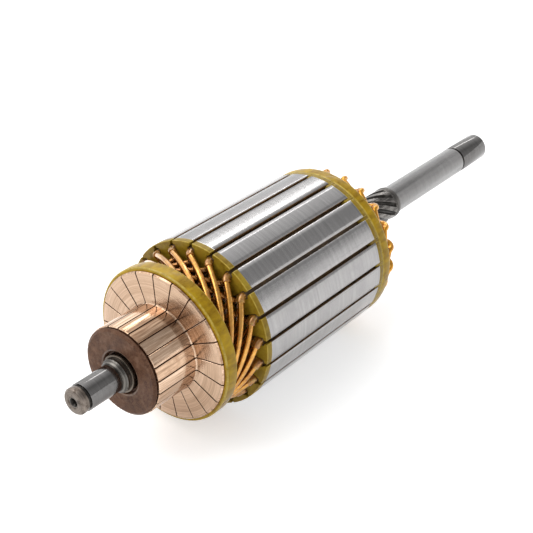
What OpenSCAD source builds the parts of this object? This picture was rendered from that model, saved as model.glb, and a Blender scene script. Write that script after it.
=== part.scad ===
// Armature of a direct-current starter motor, lying along +X.
// The origin is on the shaft axis, at the middle of the commutator-end journal.
// +X runs from the commutator end to the drive end, +Z is up, sizes are in millimetres.

/* [Shaft, commutator end] */
// Diameter of the commutator-end journal
end_journal_d = 10; // [8:0.5:12]
// Length of the commutator-end journal
end_journal_len = 13; // [9:0.5:18]
// Length of the nose ahead of the clip groove
nose_len = 2.6; // [2:0.1:4]
// Width of both clip grooves
clip_groove_w = 1; // [0.6:0.1:1.4]
// Depth of both clip grooves
clip_groove_depth = 0.6; // [0.3:0.1:1]
// Chamfer on the nose
nose_chamfer = 0.7; // [0.3:0.1:1.2]
// Diameter of the knurled seat of the commutator
seat_d = 12.4; // [11:0.2:12.8]
// Length of the chamfered shoulder between journal and seat
seat_lead = 1.9; // [1:0.1:3]
// Distance from that shoulder to the commutator's face
seat_standoff = 4.2; // [3.5:0.1:8]

/* [Shaft, drive end] */
// Diameter of the seat of the lamination stack
core_seat_d = 14.6; // [13.6:0.2:16]
// Diameter over the helical splines
spline_d = 13.6; // [13:0.1:14.4]
// Depth of the helical splines
spline_depth = 1.25; // [0.8:0.05:1.5]
// Number of helical splines
spline_teeth = 10; // [8:1:12]
// Helix angle of the splines, measured from the axis
spline_angle = 28; // [15:1:38]
// Length of the splined part behind the winding
spline_len = 37.2; // [30:0.2:50]
// Length over which the spline grooves run out
spline_run_out = 4; // [2:0.5:6]
// Length of the plain collar past the splines
collar_len = 2.6; // [1.5:0.1:4]
// Diameter of the drive-end shaft
drive_shaft_d = 12; // [10:0.2:12.6]
// Length of the drive-end shaft between collar and clip groove
drive_shaft_len = 53.7; // [40:0.1:70]
// Length of the drive-end journal past the clip groove
drive_journal_len = 20; // [12:0.5:26]
// Diameter of the centre holes' countersinks
centre_hole_d = 3.4; // [2.4:0.1:4]

/* [Commutator] */
// Diameter of the brush track
track_d = 32.5; // [30:0.5:36]
// Length of the commutator from its face to the riser
track_len = 19.6; // [16:0.1:26]
// Depth of the riser's rim over the upper conductors in it
riser_cover = 0.15; // [0.1:0.05:0.5]
// Thickness of the riser
riser_t = 5.2; // [4.6:0.1:7]
// Width of the undercut slots between the bars
bar_gap = 0.45; // [0.3:0.05:0.7]
// Depth of the undercut slots below the brush track
undercut = 0.8; // [0.4:0.1:1.2]
// Set-back of the bar ends behind the moulding's face
bar_setback = 1.7; // [1.3:0.1:2.5]
// Radial depth of each bar, from the brush track to its foot
bar_depth = 4.5; // [3.5:0.1:5.5]
// Diameter of the recess round the shaft
recess_d = 15.6; // [14.8:0.1:18]
// Depth of that recess
recess_depth = 1.6; // [1:0.1:3]
// Wall of the metal bush in the moulding
bush_wall = 0.7; // [0.5:0.05:0.9]
// Length of the hub behind the riser
hub_len = 1.1; // [0.6:0.1:2]
// Radial thickness of the resin-glass band on the riser
riser_band_t = 1.2; // [0.8:0.1:2]
// Width of that band
riser_band_w = 5.1; // [4:0.1:6]
// Set-back of that band behind the riser's face
riser_band_setback = 1; // [0.6:0.1:1.8]

/* [Lamination stack] */
// Outer diameter of the stack
core_d = 63; // [62.4:0.2:66]
// Length of the stack
core_len = 66; // [50:1:90]
// Number of slots, which is also the number of bars and of coils
slots = 21; // [19:1:21]
// Turn of the slots against the commutator's undercut slots
slot_phase = 0.5; // [0:0.1:2]
// Width of the slot mouths
slot_mouth = 1.3; // [0.8:0.1:1.8]
// Thickness of the insulating end plates
end_plate_t = 2.5; // [1.5:0.1:4]
// Gap between the riser and the front end plate
front_gap = 13.8; // [12:0.1:18]
// Clearance of the end plates' slots round the stack's slots
plate_slot_clear = 0.12; // [0.05:0.01:0.2]

/* [Winding] */
// Width of the enamelled conductors, along the circumference
conductor_w = 2.1; // [1.8:0.05:2.2]
// Height of the enamelled conductors, towards the axis
conductor_h = 3.2; // [2.4:0.1:3.6]
// Depth of the upper conductors' outer faces below the stack's outside
conductor_depth = 2.25; // [1.9:0.05:2.4]
// Clear space between upper and lower conductors
layer_gap = 0.4; // [0.35:0.05:0.6]
// Drop of the conductors towards the axis between slots and riser
riser_drop = 1.6; // [1.4:0.1:2]
// Sag of the conductors towards the axis, half way between slots and riser
front_sag = 0.6; // [0:0.1:1.4]
// Slot pitches that an upper conductor turns through to its bar
upper_travel = 2.5; // [1.5:1:2.5]
// Slot pitches that a lower conductor turns through to its bar
lower_travel = 2.5; // [1.5:1:2.5]
// Slots spanned by a coil
coil_span = 5; // [4:1:5]
// Rise of the noses over the conductors in the slots
nose_rise = 0.6; // [0:0.1:1]
// Length of the conductors' overhang behind the rear end plate
overhang = 12.4; // [11:0.1:14]
// Distance across a hairpin's nose, along the circumference
nose_spread = 3; // [2.4:0.1:3.4]
// Turn of the noses back towards their upper conductors, in degrees
nose_lean = 3.5; // [0:0.5:5]
// Thickness of the slot liners
liner_t = 0.2; // [0.1:0.05:0.25]
// Clearance between the liners and the slot walls
liner_clear = 0.05; // [0.03:0.01:0.1]
// Clearance between the conductors and the liner
wire_clear = 0.15; // [0.08:0.01:0.2]
// Length of the liner's hood ahead of the front end plate
hood_len = 2; // [1:0.1:2.6]
// Thickness of the separator strips between the layers
separator_t = 0.25; // [0.1:0.05:0.3]
// Width of the resin-glass band on the rear overhang
rear_band_w = 4.7; // [3:0.1:6]
// Step of that band's outside below the stack's outside
rear_band_step = 0.2; // [0.1:0.05:0.5]
// Wall of the insulating sleeves on the shaft
sleeve_wall = 1.2; // [0.8:0.1:2]
// Length of the front insulating sleeve
front_sleeve_len = 6; // [3:0.5:8]
// Length of the rear insulating sleeve
rear_sleeve_len = 9; // [6:0.5:10]

/* [Hidden] */
big_fn = 96;
small_fn = 48;

pitch = 360 / slots;
conductor_round = 0.6;
half_w = conductor_w / 2;
half_h = conductor_h / 2;

// Stations along the axis
journal_front = -end_journal_len / 2;
journal_back = end_journal_len / 2;
shaft_front = journal_front - clip_groove_w - nose_len;
face_x = journal_back + seat_standoff;
bars_x = face_x + bar_setback;
riser_x = face_x + track_len;
riser_back = riser_x + riser_t;
hub_back = riser_back + hub_len;
front_plate_x = riser_back + front_gap;
core_x = front_plate_x + end_plate_t;
core_back = core_x + core_len;
rear_plate_back = core_back + end_plate_t;
nose_tip = rear_plate_back + overhang;
spline_x = nose_tip - 1.2;
spline_back = spline_x + spline_len;
collar_back = spline_back + collar_len;
groove_x = collar_back + drive_shaft_len;
shaft_back = groove_x + clip_groove_w + drive_journal_len;

// Radii that several pieces share
track_r = track_d / 2;
foot_r = track_r - bar_depth;
bush_r = seat_d / 2 + bush_wall;
core_r = core_d / 2;
spline_root_r = spline_d / 2 - spline_depth;

// Slots of the stack, from the wire and its insulation
upper_r = core_r - conductor_depth - half_h;
lower_r = upper_r - conductor_h - layer_gap;
liner_bore_w = conductor_w + 2 * wire_clear;
liner_w = liner_bore_w + 2 * liner_t;
liner_bottom = lower_r - half_h - wire_clear / 2 - liner_t;
liner_top = upper_r + half_h + wire_clear / 2 + liner_t;
slot_w = liner_w + 2 * liner_clear;
slot_bottom = liner_bottom - liner_clear;
slot_top = liner_top + liner_clear;
rear_band_bore = upper_r + half_h + 0.6 * nose_rise + 0.15;

// Conductors in the riser
riser_upper_r = upper_r - riser_drop;
riser_r = riser_upper_r + half_h + riser_cover;
riser_lower_r = lower_r - riser_drop;
pocket_clear = 0.06;
pocket_wall = 1.2;
pocket_w = conductor_w + 2 * pocket_clear;
pocket_x = riser_x + pocket_wall;
pocket_bottom = riser_lower_r - half_h - pocket_clear;

copper_bar = "#c79a7c";
copper_wire = "#c4751f";
resin_yellow = "#b59a22";

bar_names = [for (i = [1:slots]) str("commutator_bar_", i < 10 ? "0" : "", i)];
coil_names = [for (i = [1:slots]) str("coil_", i < 10 ? "0" : "", i)];

// A profile of [x, r] points turned round the X axis
module turned(points) {
    rotate([90, 0, 90])
        rotate_extrude($fn = big_fn)
            polygon([for (p = points) [p[1], p[0]]]);
}

// A flat outline in the Y-Z plane carried from x0 to x1
module along_axis(x0, x1) {
    translate([x0, 0, 0])
        rotate([90, 0, 90])
            linear_extrude(height = x1 - x0)
                children();
}

// A plain ring round the axis with a small chamfer on its outer edges
module ring(x0, x1, bore_r, outer_r, chamfer) {
    turned([
        [x0, bore_r], [x0, outer_r - chamfer], [x0 + chamfer, outer_r],
        [x1 - chamfer, outer_r], [x1, outer_r - chamfer], [x1, bore_r]
    ]);
}

// Turned outline of the shaft, without the spline teeth
module shaft_blank() {
    nose_r = end_journal_d / 2 - 0.2;
    groove_r = end_journal_d / 2 - clip_groove_depth;
    journal_r = end_journal_d / 2;
    seat_r = seat_d / 2;
    core_seat_r = core_seat_d / 2;
    drive_r = drive_shaft_d / 2;
    collar_r = spline_d / 2;
    drive_groove_r = drive_r - clip_groove_depth;
    neck_r = spline_root_r / 2;
    step_x = front_plate_x - front_sleeve_len;
    turned([
        [shaft_front, 0], [shaft_front, nose_r - nose_chamfer],
        [shaft_front + nose_chamfer, nose_r], [journal_front - clip_groove_w, nose_r],
        [journal_front - clip_groove_w, groove_r], [journal_front, groove_r],
        [journal_front, journal_r], [journal_back, journal_r],
        [journal_back + seat_lead, seat_r], [step_x, seat_r],
        [step_x, core_seat_r], [spline_x, core_seat_r],
        [spline_x, neck_r], [spline_back, neck_r],
        [spline_back, collar_r], [collar_back - 0.5, collar_r],
        [collar_back, collar_r - 0.5], [collar_back, drive_r], [groove_x, drive_r],
        [groove_x, drive_groove_r], [groove_x + clip_groove_w, drive_groove_r],
        [groove_x + clip_groove_w, drive_r], [shaft_back - 0.6, drive_r],
        [shaft_back, drive_r - 0.6], [shaft_back, 0]
    ]);
}

// Share of a groove's depth left at x: full along the splines, none at the collar
function groove_share(x) =
    let (t = max(0, (x - (spline_back - spline_run_out)) / spline_run_out))
    max(0, 1 - t * t);

// One ring of points round the splines at x: flat-topped teeth between rounded grooves
function spline_ring(x) =
    let (
        tooth = 360 / spline_teeth,
        top_r = spline_d / 2 - 0.05,
        turn = (x - spline_x) * tan(spline_angle) / (spline_d / 2) * 180 / PI,
        depth = spline_depth * groove_share(x)
    )
    [for (i = [0:spline_teeth - 1])
        for (p = [[-0.24, 0], [0, 0], [0.24, 0], [0.34, 0.76], [0.5, 1], [0.66, 0.76]])
            let (a = (i + p[0]) * tooth + turn, r = top_r - depth * p[1])
                [x, r * cos(a), r * sin(a)]];

// Right-hand teeth round the axis, whose grooves run out into the plain collar
module spline_thread() {
    steps = 10;
    end_steps = 4;
    full_x = spline_back - spline_run_out;
    stations = concat(
        [for (k = [0:steps]) spline_x - 0.5 + (full_x - spline_x + 0.5) * k / steps],
        [for (k = [1:end_steps]) full_x + spline_run_out * k / end_steps],
        [spline_back + 0.4]
    );
    n = spline_teeth * 6;
    last = len(stations) - 1;
    sides = [
        for (k = [0:last - 1])
            for (s = [0:n - 1])
                let (a = k * n + s, b = k * n + (s + 1) % n)
                    [a, b, b + n, a + n]
    ];
    caps = [[for (s = [n - 1:-1:0]) s], [for (s = [0:n - 1]) last * n + s]];
    polyhedron(points = [for (x = stations) each spline_ring(x)],
               faces = [for (f = concat(sides, caps)) [for (k = [len(f) - 1:-1:0]) f[k]]]);
}

// Centre hole with its countersink, cut into the end face at x, towards dir
module centre_hole(x, dir) {
    cone_r = centre_hole_d / 2;
    drill_r = cone_r * 0.45;
    cone_len = (cone_r - drill_r) * 1.732;
    translate([x, 0, 0])
        rotate([0, 90 * dir, 0]) {
            translate([0, 0, -0.5])
                cylinder(h = cone_len + 0.5, r1 = cone_r + 0.29, r2 = drill_r, $fn = small_fn);
            cylinder(h = cone_len + 2.4, r = drill_r, $fn = small_fn);
        }
}

module shaft() {
    color("#8c8a88")
        difference() {
            union() {
                shaft_blank();
                spline_thread();
            }
            centre_hole(shaft_front, 1);
            centre_hole(shaft_back, -1);
        }
}

module commutator_bush() {
    color("#cfc3a6")
        ring(face_x - 0.8, hub_back, seat_d / 2, bush_r, 0.2);
}

// Outline of a commutator bar, seen along the circumference
module bar_profile() {
    fillet = 0.7;
    lip = 0.5;
    step = bar_depth / 3;
    turned([
        [bars_x, track_r - 0.3], [bars_x + 0.3, track_r],
        [riser_x - fillet, track_r],
        for (a = [30, 60]) [riser_x - fillet + fillet * sin(a), track_r + fillet * (1 - cos(a))],
        [riser_x, track_r + fillet], [riser_x, riser_r - lip], [riser_x + lip, riser_r],
        [riser_back, riser_r], [riser_back, track_r - step],
        [riser_back - 2, track_r - 1.6 * step], [riser_back - 0.6, foot_r],
        [bars_x + 0.6, foot_r], [bars_x + 2, track_r - 1.6 * step],
        [bars_x, track_r - step]
    ]);
}

// One sector of the commutator, between two undercut slots
module bar_sector(i) {
    apex = bar_gap / 2 / sin(pitch / 2);
    reach = riser_r + 5;
    rotate([(i - 0.5) * pitch, 0, 0])
        along_axis(bars_x - 1, riser_back + 1)
            polygon([
                [apex, 0],
                [apex + reach * cos(pitch / 2), -reach * sin(pitch / 2)],
                [apex + reach * cos(pitch / 2), reach * sin(pitch / 2)]
            ]);
}

// One bar: brush track, riser, and the pocket that takes its two conductors
module bar_body(i) {
    difference() {
        intersection() {
            bar_profile();
            bar_sector(i);
        }
        rotate([(i - 0.5) * pitch, 0, 0])
            along_axis(pocket_x, riser_back + 1)
                translate([pocket_bottom, -pocket_w / 2])
                    square([riser_r, pocket_w]);
    }
}

module commutator_bar(i) {
    color(copper_bar)
        bar_body(i);
}

// Moulding that holds the bars, with a rim ahead of them and webs in their slots
module commutator_moulding() {
    rim_r = track_r - 0.35;
    web_r = track_r - undercut;
    web_back = riser_back - 0.4;
    color("#6b4a3b")
        difference() {
            turned([
                [face_x + recess_depth, bush_r], [face_x + recess_depth, recess_d / 2 - 0.3],
                [face_x + 0.4, recess_d / 2], [face_x, recess_d / 2 + 0.4],
                [face_x, rim_r - 1], [face_x + 0.7, rim_r], [bars_x - 0.8, rim_r],
                [bars_x - 0.8, rim_r - 0.8], [bars_x, rim_r - 0.8], [bars_x, web_r],
                [riser_x + 0.8, web_r], [riser_x + 0.8, riser_r - 1.2],
                [web_back, riser_r - 1.2], [web_back, track_r - bar_depth / 3],
                [hub_back, track_r - bar_depth / 3 - 0.8], [hub_back, bush_r]
            ]);
            for (i = [1:slots]) {
                intersection() {
                    bar_profile();
                    bar_sector(i);
                }
            }
        }
}

module riser_band() {
    x0 = riser_x + riser_band_setback;
    color(resin_yellow)
        ring(x0, x0 + riser_band_w, riser_r, riser_r + riser_band_t, 0.35);
}

// Outline of one slot with its mouth, pointing along +Y of the flat outline
module slot_outline(grow) {
    half = slot_w / 2 + grow;
    bottom = slot_bottom - grow;
    top = slot_top + grow;
    mouth = slot_mouth / 2;
    corner = 0.3;
    shoulder = 0.6;
    polygon([
        [bottom + corner, -half], [top, -half], [top + shoulder, -mouth],
        [core_r + 1, -mouth], [core_r + 1, mouth], [top + shoulder, mouth],
        [top, half], [bottom + corner, half],
        for (a = [30, 60]) [bottom + corner - corner * sin(a), half - corner + corner * cos(a)],
        [bottom, half - corner], [bottom, corner - half],
        for (a = [60, 30]) [bottom + corner - corner * sin(a), corner - half - corner * cos(a)]
    ]);
}

// A disc with all slots and the shaft's bore, from x0 to x1
module slotted_disc(x0, x1, outer_r, grow) {
    along_axis(x0, x1)
        difference() {
            circle(r = outer_r, $fn = big_fn);
            circle(r = core_seat_d / 2, $fn = big_fn);
            for (i = [1:slots])
                rotate(slot_phase + i * pitch)
                    slot_outline(grow);
        }
}

module lamination_stack() {
    color("#8f9296")
        slotted_disc(core_x, core_back, core_r, 0);
}

module front_end_plate() {
    color(resin_yellow)
        slotted_disc(front_plate_x, core_x, core_r, plate_slot_clear);
}

module rear_end_plate() {
    color(resin_yellow)
        slotted_disc(core_back, rear_plate_back, core_r - rear_band_step, plate_slot_clear);
}

// One folded paper liner: a closed sleeve round both conductors of a slot, and
// ahead of the end plate a hood over the outer side of the upper conductor's bend
module slot_liner() {
    bore = liner_bore_w / 2;
    half = liner_w / 2;
    fold = 0.25;
    hood_foot = upper_r - half_h / 2;
    along_axis(front_plate_x, rear_plate_back)
        difference() {
            polygon([
                [liner_bottom + fold, -half], [liner_top, -half], [liner_top, half],
                [liner_bottom + fold, half], [liner_bottom, half - fold],
                [liner_bottom, fold - half]
            ]);
            translate([liner_bottom + liner_t, -bore])
                square([liner_top - liner_bottom - 2 * liner_t, 2 * bore]);
        }
    along_axis(front_plate_x - hood_len, front_plate_x)
        difference() {
            translate([hood_foot, -half])
                square([liner_top - hood_foot, liner_w]);
            translate([hood_foot - 1, -bore])
                square([liner_top - liner_t - hood_foot + 1, liner_w]);
        }
}

module slot_liners() {
    color("#b98a45")
        for (i = [1:slots])
            rotate([slot_phase + i * pitch, 0, 0])
                slot_liner();
}

module layer_separators() {
    middle = (upper_r + lower_r) / 2;
    color("#d8c9a0")
        for (i = [1:slots])
            rotate([slot_phase + i * pitch, 0, 0])
                along_axis(front_plate_x, rear_plate_back)
                    translate([middle - separator_t / 2, -liner_bore_w / 2 + 0.02])
                        square([separator_t, liner_bore_w - 0.04]);
}

module front_shaft_sleeve() {
    color("#d8c9a0")
        ring(front_plate_x - front_sleeve_len, front_plate_x,
             core_seat_d / 2, core_seat_d / 2 + sleeve_wall, 0.3);
}

module rear_shaft_sleeve() {
    color("#d8c9a0")
        ring(rear_plate_back, rear_plate_back + rear_sleeve_len,
             core_seat_d / 2, core_seat_d / 2 + sleeve_wall, 0.3);
}

module rear_band() {
    color(resin_yellow)
        ring(rear_plate_back, rear_plate_back + rear_band_w,
             rear_band_bore, core_r - rear_band_step, 0.35);
}

// Share of a turn completed at t, with both ends of the run bent gently over a length c
function eased(t, c) =
    t < c ? t * t / (2 * c * (1 - c))
    : t > 1 - c ? 1 - (1 - t) * (1 - t) / (2 * c * (1 - c))
    : (t - c / 2) / (1 - c);

// Points [x, r, angle] of a run between two stations, both ends included
function run(from, to, c, sag) = [
    for (t = [0, c / 2, c, 0.5, 1 - c, 1 - c / 2, 1])
        let (s = eased(t, c))
            [from[0] + (to[0] - from[0]) * t,
             from[1] + (to[1] - from[1]) * s - sag * 4 * s * (1 - s),
             from[2] + (to[2] - from[2]) * s]
];

function in_space(p) = [p[0], p[1] * cos(p[2]), p[1] * sin(p[2])];

// Centre line of coil i: bar, upper side of slot i, nose, lower side of the slot a span back, bar
function coil_path(i) =
    let (
        slot_a = slot_phase + i * pitch,
        far_a = slot_a - coil_span * pitch,
        bar_a = (i + upper_travel) * pitch,
        far_bar_a = (i - coil_span - lower_travel) * pitch,
        mouth_x = front_plate_x - 0.1,
        bend_x = riser_back + 0.5,
        end_x = pocket_x + 0.2,
        leg_x = rear_plate_back + 0.2,
        middle_r = (upper_r + lower_r) / 2 + nose_rise,
        half_turn = nose_spread / 2 / middle_r * 180 / PI,
        loop_r = norm([nose_spread, upper_r - lower_r]) / 2,
        loop_x = nose_tip - half_w - loop_r,
        nose_a = (slot_a + far_a) / 2 + nose_lean,
        front = run([bend_x, riser_upper_r, bar_a], [mouth_x, upper_r, slot_a], 0.14, front_sag),
        back = run([leg_x, upper_r, slot_a], [loop_x, upper_r + nose_rise, nose_a + half_turn], 0.14, 0),
        far_back = run([loop_x, lower_r + nose_rise, nose_a - half_turn], [leg_x, lower_r, far_a], 0.14, 0),
        far_front = run([mouth_x, lower_r, far_a], [bend_x, riser_lower_r, far_bar_a], 0.14, front_sag)
    )
    concat(
        [in_space([end_x, riser_upper_r, bar_a])],
        [for (p = front) in_space(p)],
        [for (p = back) in_space(p)],
        [for (a = [36, 72, 108, 144])
            in_space([loop_x + loop_r * sin(a),
                      middle_r + (upper_r - lower_r) / 2 * cos(a),
                      nose_a + half_turn * cos(a)])],
        [for (p = far_back) in_space(p)],
        [for (p = far_front) in_space(p)],
        [in_space([end_x, riser_lower_r, far_bar_a])]
    );

function unit(v) = v / norm(v);

// Conductor's section, a bar with its corners taken off
section_corners = [
    [half_w, conductor_round - half_h], [half_w, half_h - conductor_round],
    [half_w - conductor_round, half_h], [conductor_round - half_w, half_h],
    [-half_w, half_h - conductor_round], [-half_w, conductor_round - half_h],
    [conductor_round - half_w, -half_h], [half_w - conductor_round, -half_h]
];

// Corners of the conductor's section at point k of a path
function section(path, k) =
    let (
        last = len(path) - 1,
        before = k == 0 ? path[0] : path[k - 1],
        after = k == last ? path[last] : path[k + 1],
        here = path[k],
        dir_in = k == 0 ? unit(after - here) : unit(here - before),
        dir_out = k == last ? dir_in : unit(after - here),
        dir = unit(dir_in + dir_out),
        out = unit([0, here[1], here[2]]),
        side = unit(cross(dir, out)),
        up = cross(side, dir)
    )
    [for (c = section_corners) here + c[0] * side + c[1] * up];

// A conductor of constant section along a path
module wire(path) {
    n = len(section_corners);
    last = len(path) - 1;
    points = [for (k = [0:last]) each section(path, k)];
    sides = [
        for (k = [0:last - 1])
            for (s = [0:n - 1])
                let (a = k * n + s, b = k * n + (s + 1) % n)
                    [a, b, b + n, a + n]
    ];
    caps = [[for (s = [n - 1:-1:0]) s], [for (s = [0:n - 1]) last * n + s]];
    polyhedron(points = points, faces = concat(sides, caps));
}

module coil(i) {
    color(copper_wire)
        wire(coil_path(i));
}

shaft();
commutator_bush();
commutator_moulding();
riser_band();
lamination_stack();
front_end_plate();
rear_end_plate();
slot_liners();
layer_separators();
front_shaft_sleeve();
rear_shaft_sleeve();
rear_band();
for (i = [1:slots]) {
    commutator_bar(i);
    coil(i);
}
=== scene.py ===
"""Dressed model of a wound motor armature, built round its CAD frame."""

import logging
import math
from dataclasses import dataclass
from enum import Enum, IntEnum
from typing import Callable, Iterable, Sequence

import bmesh
import bpy
from bmesh.types import BMEdge, BMesh, BMVert
from bpy.types import Material, Node, NodeSocket, NodeTree, Object
from mathutils import Matrix, Vector


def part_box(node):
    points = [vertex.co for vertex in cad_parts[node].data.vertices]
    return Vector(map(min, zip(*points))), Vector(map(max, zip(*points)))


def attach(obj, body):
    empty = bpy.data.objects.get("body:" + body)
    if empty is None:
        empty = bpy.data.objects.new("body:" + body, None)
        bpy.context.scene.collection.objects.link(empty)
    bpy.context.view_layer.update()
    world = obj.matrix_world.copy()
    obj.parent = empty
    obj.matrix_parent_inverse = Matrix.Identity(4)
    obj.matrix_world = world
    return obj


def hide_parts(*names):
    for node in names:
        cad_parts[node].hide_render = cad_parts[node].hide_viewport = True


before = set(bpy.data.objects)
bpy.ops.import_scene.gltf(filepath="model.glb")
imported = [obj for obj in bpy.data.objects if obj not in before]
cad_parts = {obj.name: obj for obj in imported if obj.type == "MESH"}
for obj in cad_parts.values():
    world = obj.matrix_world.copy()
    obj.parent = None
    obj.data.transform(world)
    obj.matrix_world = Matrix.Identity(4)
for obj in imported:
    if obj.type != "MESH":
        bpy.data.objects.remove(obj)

MM = 0.001
AXIS = Vector((1.0, 0.0, 0.0))
SLOTS = 21
PITCH = math.tau / SLOTS
SLOT_PHASE = 0.5  # turn of the slots, in degrees
Colour = tuple[float, float, float]
log = logging.getLogger("armature")


# ------------ finishes


class Pattern(Enum):
    """How the fine marks of a finish run over its surface."""

    RINGS = "rings"
    SHEETS = "sheets"
    FIBRES = "fibres"
    MOTTLE = "mottle"
    DRAWN = "drawn"


class Slot(Enum):
    """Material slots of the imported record."""

    SHAFT = "ground_steel"
    BUSH = "bush_steel"
    CORE = "core_steel"
    MOULDING = "phenolic"
    RESIN = "resin_glass"
    PAPER = "insulating_paper"
    BAR = "commutator_copper"
    WIRE = "enamelled_copper"


class Graph:
    """A node tree with short calls for adding and linking nodes."""

    def __init__(self, tree: NodeTree) -> None:
        """Keeps the tree that the calls write to."""
        self.tree = tree

    def add(self, kind: str, values: dict[str | int, object] | None = None, **settings: object) -> Node:
        """Adds a node.

        Args:
            kind: Blender's type name of the node.
            values: What its inputs get, by their names or numbers.
            settings: Properties to set on it first.

        Returns:
            The new node.
        """
        node = self.tree.nodes.new(kind)
        for key, value in settings.items():
            setattr(node, key, value)
        self.fill(node, values or {})
        return node

    def fill(self, node: Node, values: dict[str | int, object]) -> None:
        """Feeds several inputs of a node, by their names or numbers."""
        for label, value in values.items():
            self.feed(value, node.inputs[label])

    def feed(self, value: object, into: NodeSocket) -> None:
        """Links a socket, or sets a plain value.

        Args:
            value: An output socket, a number or a colour.
            into: The input that takes it.
        """
        if isinstance(value, NodeSocket):
            self.tree.links.new(value, into)
        else:
            into.default_value = value

    def maths(self, operation: str, *values: object, clamp: bool = False) -> NodeSocket:
        """Adds a Math node.

        Args:
            operation: Name of the operation.
            values: Its inputs, as sockets or numbers.
            clamp: Whether the result stays between 0 and 1.

        Returns:
            The result's socket.
        """
        inputs = dict(enumerate(values))
        return self.add("ShaderNodeMath", inputs, operation=operation, use_clamp=clamp).outputs[0]

    def blend(self, share: object, first: object, second: object) -> NodeSocket:
        """Mixes two colours.

        Args:
            share: Share of the second colour.
            first: Colour where the share is 0.
            second: Colour where the share is 1.

        Returns:
            The mixed colour's socket.
        """
        node = self.add("ShaderNodeMix", data_type="RGBA")
        colour_inputs = [s for s in node.inputs if s.type == "RGBA"]
        self.feed(share, node.inputs[0])
        self.feed(first, colour_inputs[0])
        self.feed(second, colour_inputs[1])
        return next(s for s in node.outputs if s.type == "RGBA")

    def remap(
        self, value: object, low: float, high: float, to_low: float, to_high: float
    ) -> NodeSocket:
        """Maps a range on to another, clamped.

        Args:
            value: The input socket.
            low: Start of the input's range.
            high: End of the input's range.
            to_low: Result at low.
            to_high: Result at high.

        Returns:
            The result's socket.
        """
        values = dict(enumerate((value, low, high, to_low, to_high)))
        return self.add("ShaderNodeMapRange", values, clamp=True).outputs[0]

    def noise(
        self, vector: NodeSocket, scale: object, detail: float, roughness: float = 0.5
    ) -> NodeSocket:
        """Adds a noise texture.

        Args:
            vector: Coordinates that it reads.
            scale: Its scale.
            detail: Its octaves.
            roughness: Weight of the finer octaves.

        Returns:
            The value's socket.
        """
        values = {"Vector": vector, "Scale": scale, "Detail": detail, "Roughness": roughness}
        return self.add("ShaderNodeTexNoise", values).outputs[0]


class SharedEffects:
    """Shader node groups that several finishes use."""

    _made: dict[str, NodeTree] = {}

    @classmethod
    def _group(
        cls, name: str, inputs: Sequence[tuple[str, float]], outputs: Sequence[str]
    ) -> tuple[Graph, Node, Node]:
        """Starts a group with its sockets.

        Args:
            name: Name of the group.
            inputs: Names and defaults of its number inputs.
            outputs: Names of its number outputs.

        Returns:
            The graph, the group's input node and its output node.
        """
        tree = bpy.data.node_groups.new(name, "ShaderNodeTree")
        for label, value in inputs:
            socket = tree.interface.new_socket(label, in_out="INPUT", socket_type="NodeSocketFloat")
            socket.default_value = value
        for label in outputs:
            tree.interface.new_socket(label, in_out="OUTPUT", socket_type="NodeSocketFloat")
        graph = Graph(tree)
        cls._made[name] = tree
        return graph, graph.add("NodeGroupInput"), graph.add("NodeGroupOutput")

    @classmethod
    def marks(cls, pattern: Pattern) -> NodeTree:
        """Fine directional marks, from the way that a surface was made.

        Args:
            pattern: The way that they run.

        Returns:
            The group, with inputs Fineness and Contrast and outputs Marks and Height.
        """
        name = f"{pattern.value} marks"
        if name in cls._made:
            return cls._made[name]
        inputs = [("Fineness", 2000.0), ("Contrast", 1.0)]
        graph, start, end = cls._group(name, inputs, ["Marks", "Height"])
        place = graph.add("ShaderNodeTexCoord").outputs["Object"]
        if pattern is Pattern.RINGS:
            x, y, z = graph.add("ShaderNodeSeparateXYZ", {0: place}).outputs
            squares = [graph.maths("POWER", side, 2.0) for side in (y, z)]
            radius = graph.maths("SQRT", graph.maths("ADD", *squares))
            slow = graph.maths("MULTIPLY", z, 0.02)
            vector = graph.add("ShaderNodeCombineXYZ", {0: x, 1: radius, 2: slow}).outputs[0]
        else:
            stretch = {
                Pattern.SHEETS: (1.0, 0.012, 0.012),
                Pattern.FIBRES: (0.35, 1.0, 1.0),
                Pattern.MOTTLE: (1.0, 1.0, 1.0),
                Pattern.DRAWN: (0.05, 1.0, 1.0),
            }[pattern]
            values = {0: place, 1: stretch}
            vector = graph.add("ShaderNodeVectorMath", values, operation="MULTIPLY").outputs[0]
        fine_share, coarser, gain = 0.6, 0.17, 3.2
        fine = graph.noise(vector, start.outputs["Fineness"], 3.0, 0.65)
        coarse = graph.noise(vector, graph.maths("MULTIPLY", start.outputs["Fineness"], coarser), 2.0)
        both = graph.maths(
            "ADD", graph.maths("MULTIPLY", fine, fine_share),
            graph.maths("MULTIPLY", coarse, 1.0 - fine_share),
        )
        centred = graph.maths("MULTIPLY", graph.maths("SUBTRACT", both, 0.5), start.outputs["Contrast"])
        spread = graph.maths("ADD", graph.maths("MULTIPLY", centred, gain), 0.5, clamp=True)
        graph.fill(end, {"Marks": spread, "Height": fine})
        return cls._made[name]

    @classmethod
    def handling(cls) -> NodeTree:
        """Uneven patches of varnish, oil and handling.

        Returns:
            The group, with inputs Size and Share and output Patches.
        """
        name = "handling patches"
        if name in cls._made:
            return cls._made[name]
        graph, start, end = cls._group(name, [("Size", 120.0), ("Share", 0.4)], ["Patches"])
        place = graph.add("ShaderNodeTexCoord").outputs["Object"]
        bare_level, share_gain, edge_gain = 0.66, 0.3, 6.0
        broad = graph.noise(place, start.outputs["Size"], 4.0, 0.6)
        lowered = graph.maths("MULTIPLY", start.outputs["Share"], share_gain)
        level = graph.maths("SUBTRACT", bare_level, lowered)
        raised = graph.maths("MULTIPLY", graph.maths("SUBTRACT", broad, level), edge_gain, clamp=True)
        graph.fill(end, {"Patches": raised})
        return cls._made[name]


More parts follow.
